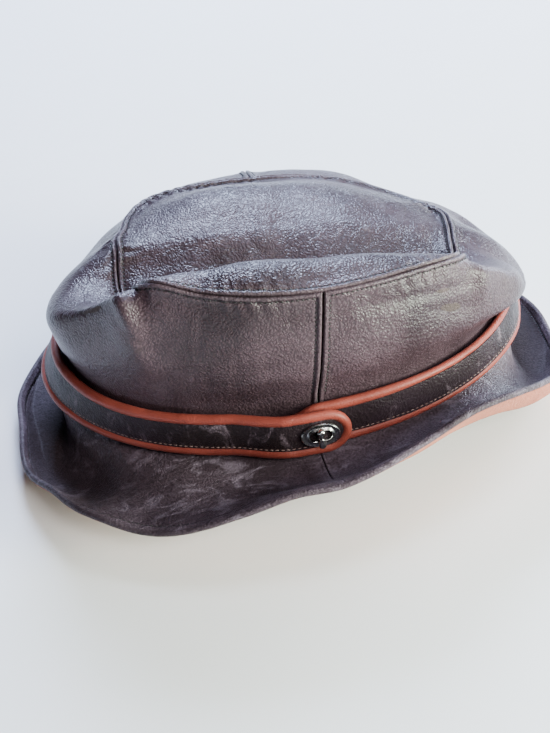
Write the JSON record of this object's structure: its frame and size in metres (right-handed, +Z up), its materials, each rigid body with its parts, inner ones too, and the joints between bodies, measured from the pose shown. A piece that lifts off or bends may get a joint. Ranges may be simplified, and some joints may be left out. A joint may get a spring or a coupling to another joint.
{
  "type": "leather bucket hat",
  "caption": "Slouched dark leather bucket hat with a seamed crown, a rolled brim, and a piped strap round the crown that closes with a metal turn lock.",
  "frame": {"origin": "centre of the footprint, on the surface that the brim rests on", "axes": "+Z up, +X along the head's length towards the side where the brim is turned up, -Y towards the turn lock"},
  "size_m": [0.2308, 0.2476, 0.1024],
  "materials": {
    "crown_leather": "smooth plum-brown hide with fine pebble grain, satin",
    "brim_upper": "dark plum-brown hide with radiating wrinkles, satin",
    "brim_lining": "russet hide, matt",
    "strap_hide": "near-black brown hide, satin",
    "piping_hide": "russet rolled hide, satin",
    "dark_nickel": "polished dark nickel plate"
  },
  "bodies": {
    "hat": {"brim_left": "brim_upper", "brim_right": "brim_upper", "brim_under": "brim_lining", "crown_tip": "crown_leather", "wall_left": "crown_leather", "wall_right": "crown_leather", "strap": "strap_hide", "strap_piping": "piping_hide", "lock_base": "dark_nickel", "lock_plate": "dark_nickel"},
    "knob": {"turn_knob": "dark_nickel"}
  },
  "joints": [
    {"name": "knob_turn", "type": "hinge", "parent": "hat", "child": "knob", "pos_m": [0.00011, -0.09335, 0.03555], "axis": [-0.0204, -0.9998, 0.0004], "range_deg": [0, 90]}
  ]
}
